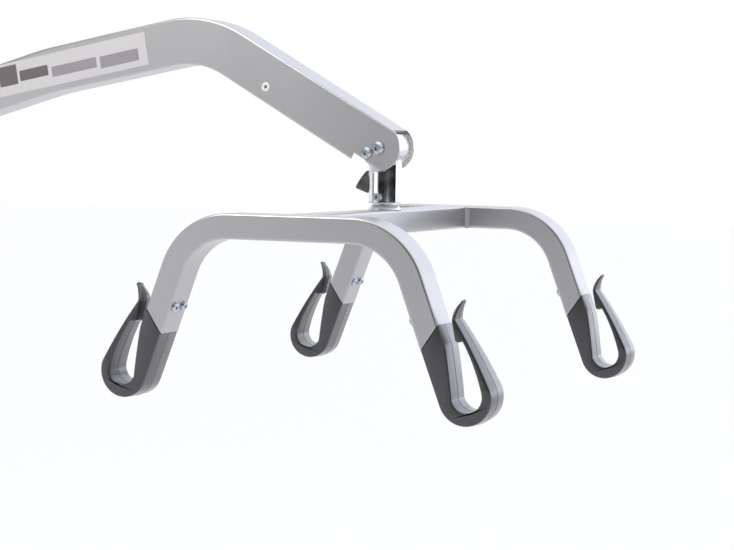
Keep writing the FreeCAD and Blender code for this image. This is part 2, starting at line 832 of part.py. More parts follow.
def make_bush_screws():
    """Two socket screws that hold the lower bush in the tube."""
    screws = []
    radius = size("tube_radius")
    head = size("bush_screw_head")
    high = size("bush_screw_height")
    shank = size("bush_screw_radius")
    reach = size("spindle_radius") + 1.5
    for side in (-1, 1):
        out = Vector(0, side, 0)
        level = Vector(0, 0, size("bush_screw_level"))
        seat = math.sqrt(radius ** 2 - head ** 2)
        screw = Part.makeCylinder(head, radius - seat + high, level + out * seat, out)
        rim = [e for e in screw.Edges
               if isinstance(e.Curve, Part.Circle)
               and abs(abs(e.Curve.Center.y) - radius - high) < 1e-6]
        screw = screw.makeFillet(0.2 * high, rim)
        screw = screw.cut(Part.makeCylinder(radius, 2 * radius, Vector(0, 0, 0)))
        core = Part.makeCylinder(shank, radius + 1 - reach, level + out * reach, out)
        screw = screw.fuse(core)
        socket = Part.makeCylinder(size("bush_screw_key") / 2, 0.6 * high,
                                   level + out * (radius + 0.4 * high), out)
        screws.append(screw.cut(socket).removeSplitter())
    new_feature("bush_screws", Part.makeCompound(screws), stem_place())


def latch_outline():
    """Side outline of the lever, with its thumb wing and its nose."""
    tip = -size("latch_tip_reach")
    tip_level = size("latch_tip_level")
    foot = size("latch_foot")
    top = size("latch_top")
    pin = -pin_reach()
    pin_level = size("latch_pin_level")
    clear = size("latch_clear")
    skin = -size("tube_radius") - clear
    nose = -size("groove_radius") - clear
    nose_foot = size("groove_foot") + size("nose_foot_gap")
    nose_top = size("groove_top") - clear
    neck = -size("spindle_radius") - size("latch_neck_gap")
    boss = size("latch_boss")
    back = pin - size("latch_shoulder")
    bulge = (pin - size("latch_bulge"), pin_level - size("latch_bulge_drop"))
    eighth = boss * math.cos(math.radians(45))
    return outline([
        (back, top),
        (bulge, (tip, tip_level)),
        (tip + size("latch_lip_width"), tip_level - size("latch_lip")),
        (skin, foot),
        (neck, foot + clear),
        (neck, nose_foot),
        (nose, nose_foot),
        (nose, nose_top),
        (neck, nose_top),
        (pin + boss, pin_level - boss),
        (pin + boss, pin_level),
        ((pin + eighth, pin_level + eighth), (pin, pin_level + boss)),
        (back, top)])


def make_latch():
    """The sprung lever that holds the spindle, its pin and its spring."""
    width = size("latch_width")
    pin = Vector(-pin_reach(), 0, size("latch_pin_level"))
    lever = prism(latch_outline(), width)
    edge = size("latch_round") - size("latch_tip_reach") + size("latch_lip_width")
    wing = [e for e in lever.Edges if min(v.Point.x for v in e.Vertexes) < edge]
    lever = lever.makeFillet(size("latch_round"), wing)
    lever = lever.cut(cylinder_along_y(size("latch_pin_radius") + size("running_gap"),
                                       2 * width, pin))
    room = size("spring_radius") + size("spring_wire") + size("spring_room")
    wide = size("spring_width") + 2 * size("spring_room")
    lever = lever.cut(cylinder_along_y(room, wide, pin))
    lever = lever.cut(Part.makeBox(3 * room, wide, 2 * room,
                                   pin + Vector(0, -wide / 2, -room)))
    new_feature("latch_lever", lever, stem_place())
    reach = math.sqrt(size("tube_radius") ** 2 - pin_reach() ** 2) - size("pin_inset")
    shaft = cylinder_along_y(size("latch_pin_radius"), 2 * reach, pin)
    new_feature("latch_pin", shaft, stem_place())
    make_latch_spring(pin)


def make_latch_spring(pin):
    """The torsion spring's turns, as one coil round the pin."""
    wire = size("spring_wire")
    radius = size("spring_radius")
    turns = size("spring_turns")
    pitch = (size("spring_width") - 2 * wire) / turns
    helix = Part.makeHelix(pitch, turns * pitch, radius)
    section = Part.Wire(Part.makeCircle(wire, Vector(radius, 0, 0), Vector(0, 1, 0)))
    coil = Part.Wire(helix.Edges).makePipeShell([section], True, True)
    coil.translate(Vector(0, 0, -turns * pitch / 2))
    coil.rotate(Vector(), Vector(1, 0, 0), 90)
    coil.translate(pin)
    new_feature("latch_spring", coil, stem_place())


# ---------------------------------------------------------------- spreader


def make_spindle():
    """Spindle, the collar it stands in, and the washer it turns on."""
    collar = turned("spindle_collar", [
        ("spindle_radius", "0"), ("collar_radius", "0"), ("collar_radius", "collar_foot"),
        ("collar_top_radius", "collar_height - collar_crown"),
        ("collar_top_radius", "collar_height"),
        ("spindle_radius", "collar_height")])
    place(collar, "boom_reach", "0", "-hanger_drop")
    spindle = turned("spindle", [
        ("0", "-bar_height"), ("spindle_radius", "-bar_height"),
        ("spindle_radius", "groove_foot"), ("groove_radius", "groove_foot"),
        ("groove_radius", "groove_top"), ("spindle_radius", "groove_top"),
        ("spindle_radius", "spindle_top - spindle_chamfer"),
        ("spindle_radius - spindle_chamfer", "spindle_top"),
        ("0", "spindle_top")])
    place(spindle, "boom_reach", "0", "-hanger_drop")
    washer = ring("swivel_washer", "tube_radius", "spindle_radius + washer_gap", "swivel_washer")
    place(washer, "boom_reach", "0", "collar_height - hanger_drop")


def make_cross_beam():
    """The box section that joins the two bars, bored for the spindle."""
    body = new_body("cross_beam")
    section = new_sketch(body, "XZ_Plane", "section")
    add_polygon(section, rectangle("beam_width", "bar_height", "-bar_height / 2"))
    add_polygon(section, rectangle("beam_width - 2 * bar_wall", "bar_height - 2 * bar_wall",
                                   "-bar_height / 2"))
    pad(body, section, "bar_pitch - bar_width", midplane=True)
    edge_across = size("beam_width") / 2
    long_edge = size("bar_pitch") - size("bar_width")
    round_edges(body, "bar_corner", lambda edge: (
        abs(edge.Length - long_edge) < 1e-6
        and abs(abs(edge.Vertexes[0].Point.x) - edge_across) < 1e-6))
    bore = new_sketch(body, "XY_Plane", "bore")
    add_circle(bore, "0", "0", "spindle_radius")
    pocket(body, bore, "bar_height")
    place(body, "boom_reach", "0", "-hanger_drop")


def leg_place(side, end):
    """The place of a hook: drawn upright, its leg line down from zero."""
    tilt = size("leg_tilt")
    bend = size("bar_bend")
    sweep = math.radians(90 - tilt)
    across = size("bar_flat") / 2 + bend * math.sin(sweep)
    drop = bend * (1 - math.cos(sweep))
    lean = FreeCAD.Placement(Vector(across, 0, -drop),
                             FreeCAD.Rotation(Vector(0, 1, 0), -tilt))
    turn = FreeCAD.Placement(Vector(), FreeCAD.Rotation(Vector(0, 0, 1), 0 if side > 0 else 180))
    middle = FreeCAD.Placement(
        Vector(size("boom_reach"), end * size("bar_pitch") / 2, -size("hanger_drop")),
        FreeCAD.Rotation())
    return middle.multiply(turn).multiply(lean)


def bar_side(inset, lengthen):
    """Outer and inner outline edges of a bar, inset from its skin."""
    tilt = size("leg_tilt")
    bend = size("bar_bend")
    height = size("bar_height")
    sweep = 90 - tilt
    corner = Vector(size("bar_flat") / 2 + bend * math.tan(math.radians(sweep / 2)), 0, 0)
    down = tilted(-sweep)
    tangent = bend * math.tan(math.radians(sweep / 2))
    slant = (size("leg_inner") - size("leg_outer")) / height

    def path(depth):
        leg = tangent + size("leg_outer") + slant * depth + lengthen
        end = corner + down * leg
        mirrored = Vector(-end.x, 0, end.z)
        points = [mirrored, Vector(-corner.x, 0, 0), corner, end]
        return shifted_path(points, [bend, bend], -depth)
    return path(inset), path(height - inset)


def make_bars():
    """The two bent bars, which run along the boom, front and rear."""
    width = size("bar_width")
    wall = size("bar_wall")
    for label, end in (("front_bar", -1), ("rear_bar", 1)):
        top, foot = bar_side(0, 0)
        bar = prism(closed(top, foot), width)
        bar = round_along(bar, top + foot, width / 2, size("bar_corner"))
        bar = bar.cut(prism(closed(*bar_side(wall, 1)), width - 2 * wall))
        for side in (-1, 1):
            for spot in screw_spots():
                hole = Part.makeCylinder(size("hook_screw_radius") + size("bolt_clearance"),
                                         2 * wall + 2, spot - Vector(1, 0, 0), Vector(1, 0, 0))
                hole.Placement = leg_place(side, 0).multiply(hole.Placement)
                hole.translate(Vector(-size("boom_reach"), 0, size("hanger_drop")))
                bar = bar.cut(hole)
        new_feature(label, bar, FreeCAD.Placement(
            Vector(size("boom_reach"), end * size("bar_pitch") / 2, -size("hanger_drop")),
            FreeCAD.Rotation()))


def make_bar_welds():
    """Fillet welds up both sides of the cross beam at each end."""
    leg = size("weld_leg")
    half = size("beam_width") / 2
    high = size("bar_height")
    reach = (size("bar_pitch") - size("bar_width")) / 2
    welds = []
    for end in (-1, 1):
        for side in (-1, 1):
            corner = Vector(side * half, end * reach, -high)
            spots = [corner, corner + Vector(side * leg, 0, 0), corner - Vector(0, end * leg, 0)]
            face = Part.Face(Part.makePolygon(spots + [spots[0]]))
            welds.append(face.extrude(Vector(0, 0, high - size("bar_corner"))))
    new_feature("bar_welds", Part.makeCompound(welds), stem_place())


# ---------------------------------------------------------------- hooks


def hook_outline():
    """Outline of a sling hook: x is outward, z is up its leg."""
    seat = size("hook_seat_level")
    radius = size("hook_seat_radius")
    offset = size("hook_seat_offset")
    rim = size("hook_rim_radius")
    rim_offset = rim - size("bar_height") + 0.5
    gate = size("hook_gate")
    shoulder = size("hook_shoulder")
    tooth = size("hook_tooth")
    neck = size("hook_neck")
    lip = size("hook_lip_level")
    reach = size("hook_lip_reach")
    arm = rim_offset + rim
    return outline([
        (0, -size("leg_outer")),
        (0, -shoulder),
        ((offset - 0.61 * radius, 0.5 * (-shoulder - seat)), (offset - radius, -seat)),
        ((offset, -seat - radius), (offset + radius, -seat)),
        ((offset + 0.99 * radius, 0.5 * (-seat - tooth)), (gate + 7.5, -tooth)),
        (gate + 4, -tooth),
        ((gate + 0.9, -tooth + 1.2), (gate - 0.5, -tooth + 5)),
        (gate + 2, -neck),
        ((gate + 6.2, -0.5 * (neck + lip) - 1.5), (reach - 1, -lip)),
        ((reach + 1.6, -lip + 0.2), (reach + 2, -lip - 3.5)),
        ((gate + 12, -0.5 * (neck + lip) - 3.5), (gate + 7.3, -neck)),
        ((arm - 6.3, -0.5 * (neck + seat) - 1), (arm, -seat - 1)),
        ((rim_offset, -seat - 1 - rim), (rim_offset - rim, -seat - 1)),
        (-size("bar_height"), -size("leg_inner")),
        (0, -size("leg_outer"))])


def core_outline():
    """Outline of the flat steel strip inside a hook's moulding."""
    seat = size("hook_seat_level") + 1
    thickness = size("core_thickness")
    middle = 0.5 * (size("hook_seat_radius") + size("hook_rim_radius"))
    inner = middle - thickness / 2
    outer = middle + thickness / 2
    centre = 0.5 * (size("hook_seat_offset") + size("hook_rim_radius") - size("bar_height") + 0.5)
    top = -size("leg_inner")
    arm_top = -seat + 12
    return outline([
        (centre - outer, top),
        (centre - outer, -seat),
        ((centre, -seat - outer), (centre + outer, -seat)),
        (centre + outer, arm_top), (centre + inner, arm_top), (centre + inner, -seat),
        ((centre, -seat - inner), (centre - inner, -seat)),
        (centre - inner, top), (centre - outer, top)])


def tongue_trim():
    """What is cut away beside the hook's narrow tongue."""
    half = size("hook_width") / 2
    slim = size("tongue_width") / 2
    tooth = size("hook_tooth")
    neck = size("hook_neck")
    lip = size("hook_lip_level")
    gate = size("hook_gate")
    steps = outline([
        (half + 1, -tooth), (half, -tooth), ((slim + 1.6, -0.6 * neck - 0.4 * tooth),
                                              (slim, -neck + 1)),
        (slim, -lip - 10), ((slim - 2, -lip - 3), (slim - 7, -lip + 3)), (half + 1, -lip + 3),
        (half + 1, -tooth)])
    face = Part.Face(Part.Wire(steps))
    one = face.extrude(Vector(0, 60, 0))
    one.rotate(Vector(), Vector(0, 0, 1), -90)
    one.translate(Vector(gate - 2.5, 0, 0))
    other = one.mirror(Vector(), Vector(0, 1, 0))
    return [one, other]


def spigot_solid():
    """The block that fills the leg's end, its foot cut on the split."""
    wall = size("bar_wall") + size("core_gap")
    height = size("bar_height")
    slant = (size("leg_inner") - size("leg_outer")) / height

    def split(depth):
        return -size("leg_outer") - slant * depth
    block = prism(outline([
        (-wall, split(wall)), (-height + wall, split(height - wall)),
        (-height + wall, -size("core_top")), (-wall, -size("core_top")), (-wall, split(wall))]),
        size("bar_width") - 2 * wall)
    return block


def screw_spots():
    """Seats of a leg's two screws, on the leg's inner wall."""
    half = size("hook_screw_pitch") / 2
    return [Vector(-size("bar_height"), side * half, -size("hook_screw_level"))
            for side in (-1, 1)]


def make_hooks():
    """Four moulded hooks, each with its steel core and two screws."""
    hook = prism(hook_outline(), size("hook_width"))
    hook = round_hook(hook)
    for cutter in tongue_trim():
        hook = hook.cut(cutter)
    strip = prism(core_outline(), size("core_width"))
    core = spigot_solid().fuse(strip.fuse(core_stalk()))
    hook = hook.cut(core)
    for spot in screw_spots():
        core = core.cut(Part.makeCylinder(size("hook_screw_radius") + size("bolt_clearance"),
                                          size("hook_screw_length") + 3,
                                          spot, Vector(1, 0, 0)))
    core = core.removeSplitter()
    legs = [("front_left", -1, -1), ("front_right", 1, -1),
            ("rear_left", -1, 1), ("rear_right", 1, 1)]
    for name, side, end in legs:
        new_feature(f"hook_{name}", hook.copy(), leg_place(side, end))
        new_feature(f"hook_core_{name}", core.copy(), leg_place(side, end))
        new_feature(f"hook_screws_{name}", leg_screws(), leg_place(side, end))


def core_stalk():
    """The strip's upper end, from the split up into the spigot."""
    thickness = size("core_thickness")
    middle = 0.5 * (size("hook_seat_radius") + size("hook_rim_radius"))
    centre = 0.5 * (size("hook_seat_offset") + size("hook_rim_radius") - size("bar_height") + 0.5)
    wide = size("core_width")
    return Part.makeBox(thickness, wide, size("leg_inner") - size("leg_outer") + 20,
                        Vector(centre - middle - thickness / 2, -wide / 2,
                               -size("leg_inner") - 5))


def round_hook(hook):
    """Rounds the moulding's outlines and corners, apart from its split."""
    half = size("hook_width") / 2
    split = sorted([-size("leg_inner"), -size("leg_outer")])
    chosen = []
    for edge in hook.Edges:
        ends = [v.Point for v in edge.Vertexes]
        if any(abs(abs(p.y) - half) > 1e-6 for p in ends):
            continue
        levels = sorted(p.z for p in ends)
        on_split = all(abs(a - b) < 1e-6 for a, b in zip(levels, split))
        if not on_split:
            chosen.append(edge)
    return hook.makeFillet(size("hook_round"), chosen)


def leg_screws():
    """Two button-head screws for a leg's inner wall."""
    screws = []
    for spot in screw_spots():
        inward = Vector(1, 0, 0)
        height = size("hook_screw_height")
        head = Part.makeCylinder(size("hook_screw_head"), height,
                                 spot - inward * height, inward)
        rim = [e for e in head.Edges
               if isinstance(e.Curve, Part.Circle)
               and abs(e.Curve.Center.x - spot.x + height) < 1e-6]
        head = head.makeFillet(0.5 * height, rim)
        head = head.cut(hexagon_prism(size("hook_screw_key"), 0.6 * height,
                                      spot - inward * height))
        shank = Part.makeCylinder(size("hook_screw_radius"), size("hook_screw_length"),
                                  spot, inward)
        screws.append(head.fuse(shank).removeSplitter())
    return Part.makeCompound(screws)


def hexagon_prism(key, depth, start):
    """A hexagon that runs along +X from start."""
    corner = key / 2 / math.cos(math.radians(30))
    spots = [start + Vector(0, corner * math.cos(math.radians(60 * k)),
                            corner * math.sin(math.radians(60 * k))) for k in range(7)]
    return Part.Face(Part.makePolygon(spots)).extrude(Vector(depth, 0, 0))


# ---------------------------------------------------------------- build


def build():
    """Makes every sub-part in the order it would be assembled."""
    make_boom_tube()
    make_mast_pivot()
    make_rear_cap()
    make_actuator_lug()
    make_boom_trim()
    make_fork_bolts()
    make_side_washers()
    make_pivot_head()
    make_socket_tube()
    make_stem_bushes()
    make_bush_screws()
    make_latch()
    make_spindle()
    make_cross_beam()
    make_bars()
    make_bar_welds()
    make_hooks()


def check_document():
    """Stops if any object failed or any sub-part has no valid shape."""
    for item in doc.Objects:
        if "Invalid" in item.State or "Error" in item.State:
            raise RuntimeError(f"{item.Label} failed: {item.State}")
    for item in SUBPARTS:
        if item.Shape.isNull() or not item.Shape.isValid() or not item.Shape.Solids:
            raise RuntimeError(f"{item.Label} has no valid solid")


def export():
    """Writes one STEP file for each sub-part."""
    os.makedirs("parts", exist_ok=True)
    for item in SUBPARTS:
        item.Shape.exportStep(f"parts/{item.Label}.step")
        print(f"{item.Label}: {len(item.Shape.Solids)} solid, {item.Shape.Volume:.0f} mm3")


build()
doc.recompute()
check_document()
export()
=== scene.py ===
"""Looks of a patient hoist's lifting arm: boom, quick-release hanger and four-point spreader."""
import json
import logging
import math
from dataclasses import dataclass
from enum import Enum
from typing import Sequence

import bmesh
import bpy
from mathutils import Matrix, Vector
from mathutils.geometry import tessellate_polygon


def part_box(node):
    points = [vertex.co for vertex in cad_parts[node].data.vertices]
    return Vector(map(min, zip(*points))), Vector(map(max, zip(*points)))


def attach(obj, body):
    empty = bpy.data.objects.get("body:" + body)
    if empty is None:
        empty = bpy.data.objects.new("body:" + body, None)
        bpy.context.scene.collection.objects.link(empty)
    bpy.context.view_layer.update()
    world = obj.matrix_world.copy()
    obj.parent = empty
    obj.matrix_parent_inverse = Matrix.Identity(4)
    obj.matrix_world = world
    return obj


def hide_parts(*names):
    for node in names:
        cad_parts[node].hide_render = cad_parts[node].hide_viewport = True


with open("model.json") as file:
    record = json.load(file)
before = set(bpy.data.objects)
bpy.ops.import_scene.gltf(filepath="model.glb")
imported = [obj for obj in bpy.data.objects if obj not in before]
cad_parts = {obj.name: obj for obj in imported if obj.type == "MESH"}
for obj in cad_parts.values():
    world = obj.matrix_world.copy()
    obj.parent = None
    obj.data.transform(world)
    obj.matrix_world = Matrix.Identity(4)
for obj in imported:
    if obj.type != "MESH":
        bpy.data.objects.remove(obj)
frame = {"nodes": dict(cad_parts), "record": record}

LOG = logging.getLogger("lifting_arm")
MM = 0.001
Point = tuple[float, float]
SHARP_ANGLE = math.radians(24)
CORNER_STEPS = 4
ROUNDING_STEPS = 5


# ------------------------------------------------------------------ colours and nodes


def linear(hex_colour: str) -> tuple[float, float, float, float]:
    """Turns an sRGB hex colour into a linear colour with full alpha.

    Args:
        hex_colour: six hex digits after a hash.

    Returns:
        Linear red, green, blue and alpha.
    """
    parts = [int(hex_colour[k:k + 2], 16) / 255 for k in (1, 3, 5)]
    values = [p / 12.92 if p <= 0.04045 else ((p + 0.055) / 1.055) ** 2.4 for p in parts]
    return (values[0], values[1], values[2], 1.0)


def per_metre(size_mm: float) -> float:
    """Texture scale at which one pattern cell measures size_mm."""
    return 1000.0 / size_mm


def add_node(tree: bpy.types.NodeTree, kind: str, settings: dict | None = None,
             inputs: dict | None = None) -> bpy.types.Node:
    """Adds a node, with its settings and what its sockets hold.

    Args:
        tree: the node tree that it goes in.
        kind: the node's Blender type name.
        settings: attributes of the node.
        inputs: a value for a socket, or a (node, output) pair that links to it.

    Returns:
        The new node.
    """
    node = tree.nodes.new(kind)
    for name, value in (settings or {}).items():
        setattr(node, name, value)
    for name, value in (inputs or {}).items():
        if isinstance(value, tuple) and len(value) == 2 and isinstance(value[0], bpy.types.Node):
            tree.links.new(value[0].outputs[value[1]], node.inputs[name])
        else:
            node.inputs[name].default_value = value
    return node


# ------------------------------------------------------------------ finishes


@dataclass(frozen=True)
class Finish:
    """A surface made from one real material, mottled and textured at real scale.

    Attributes:
        name: the material's name.
        light: colour where the surface is palest.
        dark: colour where it is deepest.
        metallic: 0 for a coating or plastic, 1 for bare metal.
        roughness: mean micro-roughness.
        spread: how far the roughness wanders either way.
        mottle_mm: size of the slow colour and gloss variation.
        grain_mm: size of the surface texture.
        grain_depth_mm: height of that texture.
        ior: index of refraction; left alone on metals.
        coat: weight of a clear top layer.
        coat_roughness: roughness of that layer.
        wear: how much edges rub paler.
        stretch: scale of the texture along each axis; small values draw it out.
    """

    name: str
    light: str
    dark: str
    metallic: float = 0.0
    roughness: float = 0.4
    spread: float = 0.05
    mottle_mm: float = 60.0
    grain_mm: float = 1.5
    grain_depth_mm: float = 0.02
    ior: float = 1.5
    coat: float = 0.0
    coat_roughness: float = 0.1
    wear: float = 0.0
    stretch: tuple[float, float, float] = (1.0, 1.0, 1.0)

    def material(self) -> bpy.types.Material:
        """The finish as a material, made on first use."""
        found = bpy.data.materials.get(self.name)
        if found is not None:
            return found
        made = bpy.data.materials.new(self.name)
        made.use_nodes = True
        tree = made.node_tree
        tree.nodes.clear()
        place = add_node(tree, "ShaderNodeTexCoord")
        stretched = add_node(tree, "ShaderNodeMapping", inputs={
            "Vector": (place, "Object"), "Scale": self.stretch})
        mottle = add_node(tree, "ShaderNodeTexNoise", inputs={
            "Vector": (place, "Object"), "Scale": per_metre(self.mottle_mm),
            "Detail": 4.0, "Roughness": 0.6})
        colour = add_node(tree, "ShaderNodeMix", {"data_type": "RGBA"}, {
            0: (mottle, "Fac"), 6: linear(self.dark), 7: linear(self.light)})
        surface = (colour, 2)
        if self.wear > 0:
            surface = (self.worn(tree, colour), 2)
        gloss = add_node(tree, "ShaderNodeMapRange", inputs={
            "Value": (mottle, "Fac"), "From Min": 0.25, "From Max": 0.75,
            "To Min": self.roughness - self.spread, "To Max": self.roughness + self.spread})
        grain = add_node(tree, "ShaderNodeTexNoise", inputs={
            "Vector": (stretched, "Vector"), "Scale": per_metre(self.grain_mm),
            "Detail": 3.0, "Roughness": 0.55})
        bump = add_node(tree, "ShaderNodeBump", inputs={
            "Strength": 0.6, "Distance": self.grain_depth_mm * MM, "Height": (grain, "Fac")})
        shader = add_node(tree, "ShaderNodeBsdfPrincipled", inputs={
            "Base Color": surface, "Metallic": self.metallic,
            "Roughness": (gloss, "Result"), "Normal": (bump, "Normal"),
            "Coat Weight": self.coat, "Coat Roughness": self.coat_roughness})
        if self.metallic < 1.0:
            shader.inputs["IOR"].default_value = self.ior
        add_node(tree, "ShaderNodeOutputMaterial", inputs={"Surface": (shader, "BSDF")})
        return made

    def worn(self, tree: bpy.types.NodeTree, colour: bpy.types.Node) -> bpy.types.Node:
        """Mixes a paler tone in where the surface is convex, as handling rubs it.

        Args:
            tree: the material's tree.
            colour: the node whose colour is worn.

        Returns:
            The node that holds the worn colour.
        """
        shape = add_node(tree, "ShaderNodeNewGeometry")
        edge = add_node(tree, "ShaderNodeMapRange", {"clamp": True}, {
            "Value": (shape, "Pointiness"), "From Min": 0.52, "From Max": 0.60,
            "To Min": 0.0, "To Max": self.wear})
        return add_node(tree, "ShaderNodeMix", {"data_type": "RGBA"}, {
            0: (edge, "Result"), 6: (colour, 2), 7: linear("#FFFFFF")})


# Powder-coated steel: cured silver-grey polyester, faint orange peel, satin sheen.
SILVER_COAT = Finish("silver_grey_powder_coat", "#B9B8B9", "#B2B1B3", metallic=0.85,
                     roughness=0.32, spread=0.02, mottle_mm=90, grain_mm=1.6,
                     grain_depth_mm=0.012, coat=0.25, coat_roughness=0.22)
# Chrome-plated drawn tube: mirror-like, with very shallow drawing lines along it.
CHROME = Finish("polished_chrome_plate", "#F0F2F5", "#DDE1E6", metallic=1.0, roughness=0.07,
                spread=0.025, mottle_mm=25, grain_mm=1.2, grain_depth_mm=0.0015,
                stretch=(1.0, 1.0, 0.05))
# Plated casting, barrelled before plating: bright but soft-edged reflections.
SATIN_CASTING = Finish("satin_plated_casting", "#E6E7EC", "#D8D9E0", metallic=0.85,
                       roughness=0.28, spread=0.05, mottle_mm=18, grain_mm=0.7,
                       grain_depth_mm=0.006)
# Bright zinc-plated fasteners: slightly blue, with a fine turned grain.
ZINC = Finish("bright_zinc_plate", "#CBD2DA", "#AEB6C0", metallic=1.0, roughness=0.24,
              spread=0.08, mottle_mm=5, grain_mm=0.35, grain_depth_mm=0.004)
# Cold-rolled steel strip, oiled: darker and duller than the plated parts.
PLAIN_STEEL = Finish("plain_rolled_steel", "#8E9094", "#74767B", metallic=1.0, roughness=0.42,
                     spread=0.08, mottle_mm=12, grain_mm=0.6, grain_depth_mm=0.01)
# Glass-filled nylon, injection moulded: black, with a satin skin that greys in glancing light.
BLACK_NYLON = Finish("moulded_black_nylon", "#1D1D23", "#17171C", roughness=0.36, spread=0.06,
                     mottle_mm=14, grain_mm=0.6, grain_depth_mm=0.012, ior=1.6,
                     coat=1.0, coat_roughness=0.26, wear=0.04)
# ABS with a spark-eroded texture: charcoal and fairly matt.
BLACK_ABS = Finish("textured_black_abs", "#3A3738", "#2C2A2B", roughness=0.5, spread=0.05,
                   mottle_mm=9, grain_mm=0.5, grain_depth_mm=0.02, ior=1.53, wear=0.06)
# Polyethylene end plug: grey-black, waxy, fine moulded texture.
CAP_POLYETHYLENE = Finish("moulded_polyethylene", "#3B3C40", "#2E2F33", roughness=0.55,
                          mottle_mm=15, grain_mm=0.8, grain_depth_mm=0.02, ior=1.52)
# Natural nylon grommets: milky white with a soft gloss.
WHITE_NYLON = Finish("natural_white_nylon", "#F4F3EE", "#E8E6DF", roughness=0.35,
                     mottle_mm=6, grain_mm=0.5, grain_depth_mm=0.008, ior=1.53)
# Acetal bearing parts: denser white, machined smooth.
ACETAL = Finish("machined_white_acetal", "#ECEBE6", "#DEDCD5", roughness=0.30,
                mottle_mm=8, grain_mm=0.4, grain_depth_mm=0.005, ior=1.48)
# Clear polyester overlay on the paint, tinted as a paler copy of the paint: partly the real film,
# partly painted sheen where the boom's near face catches more light.
FILM_WITH_PAINTED_SHEEN = Finish("clear_film_with_painted_sheen", "#DBD8D9", "#D6D3D5", metallic=0.85,
                    roughness=0.34, spread=0.03, mottle_mm=40, grain_mm=2.0,
                    grain_depth_mm=0.003, coat=0.25, coat_roughness=0.2)
# Screen ink, mid and dark grey, flat and dead matt.
DARK_INK = Finish("dark_grey_ink", "#6B6868", "#605D5D", roughness=0.7, mottle_mm=5,
                  grain_mm=0.4, grain_depth_mm=0.004)
PALE_INK = Finish("pale_grey_ink", "#98959A", "#8E8B90", roughness=0.7, mottle_mm=5,
                  grain_mm=0.4, grain_depth_mm=0.004)


SLOT_FINISH: dict[str, Finish] = {
    "painted_steel": SILVER_COAT,
    "plain_steel": PLAIN_STEEL,
    "zinc_steel": ZINC,
    "black_nylon": BLACK_NYLON,
    "black_plastic": BLACK_ABS,
    "cap_plastic": CAP_POLYETHYLENE,
    "white_nylon": WHITE_NYLON,
    # the film's finish is a paler copy of the paint: painted sheen on the boom's near face
    "label_film": FILM_WITH_PAINTED_SHEEN,
    "chrome_tube": CHROME,
    "bright_casting": SATIN_CASTING,
    "bright_bolts": ZINC,
    "bearing_plastic": ACETAL,
}


def dress_cad_nodes() -> None:
    """Gives every CAD node the finish of the record's slot that it is in."""
    slots = {part["node"]: part["material_slot"] for part in frame["record"]["subparts"]}
    for name, node in frame["nodes"].items():
        made = SLOT_FINISH[slots[name]].material()
        node.data.materials.clear()
        node.data.materials.append(made)


# ------------------------------------------------------------------ shared mesh work


class Body(Enum):
    """The CAD bodies that pieces ride on."""

    BOOM = "boom"
    SPREADER = "spreader"


def middle(node: str) -> Vector:
    """Middle of a CAD node's box, in metres.

    Args:
        node: the node's name.

    Returns:
        The point halfway between its corners.
    """
    low, high = (Vector(corner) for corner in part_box(node))
    return (low + high) / 2


def arc_points(start: Point, through: Point, end: Point, step_mm: float) -> list[Point]:
    """Points of an arc through three points, without its first.

    Args:
        start: where the arc begins.
        through: a point on the way.
        end: where it ends.
        step_mm: longest distance between two points.

    Returns:
        The points after start, as far as end.
    """
    (ax, ay), (bx, by), (cx, cy) = start, through, end
    twice = 2 * (ax * (by - cy) + bx * (cy - ay) + cx * (ay - by))
    squares = [x * x + y * y for x, y in (start, through, end)]
    mid_x = (squares[0] * (by - cy) + squares[1] * (cy - ay) + squares[2] * (ay - by)) / twice
    mid_y = (squares[0] * (cx - bx) + squares[1] * (ax - cx) + squares[2] * (bx - ax)) / twice
    radius = math.hypot(ax - mid_x, ay - mid_y)
    turns = [math.atan2(y - mid_y, x - mid_x) for x, y in (start, through, end)]
    sweep = (turns[2] - turns[0]) % math.tau
    if (turns[1] - turns[0]) % math.tau > sweep:
        sweep -= math.tau
    count = max(2, math.ceil(abs(sweep) * radius / step_mm))
    return [(mid_x + radius * math.cos(turns[0] + sweep * k / count),
             mid_y + radius * math.sin(turns[0] + sweep * k / count))
            for k in range(1, count + 1)]


def new_piece(name: str, mesh: bmesh.types.BMesh, finish: Finish, body: Body) -> bpy.types.Object:
    """Turns a mesh in the row frame, in metres, into a dressed piece that rides a body.

    Args:
        name: the piece's name.
        mesh: its mesh, which is freed.
        finish: its finish.
        body: the CAD body that it moves with.

    Returns:
        The new object.
    """
    bmesh.ops.recalc_face_normals(mesh, faces=mesh.faces)
    data = bpy.data.meshes.new(name)
    mesh.to_mesh(data)
    mesh.free()
    data.materials.append(finish.material())
    item = bpy.data.objects.new(name, data)
    bpy.context.scene.collection.objects.link(item)
    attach(item, body.value)
    LOG.info("%s: %d faces", name, len(data.polygons))
    return item


# ------------------------------------------------------------------ sling hook


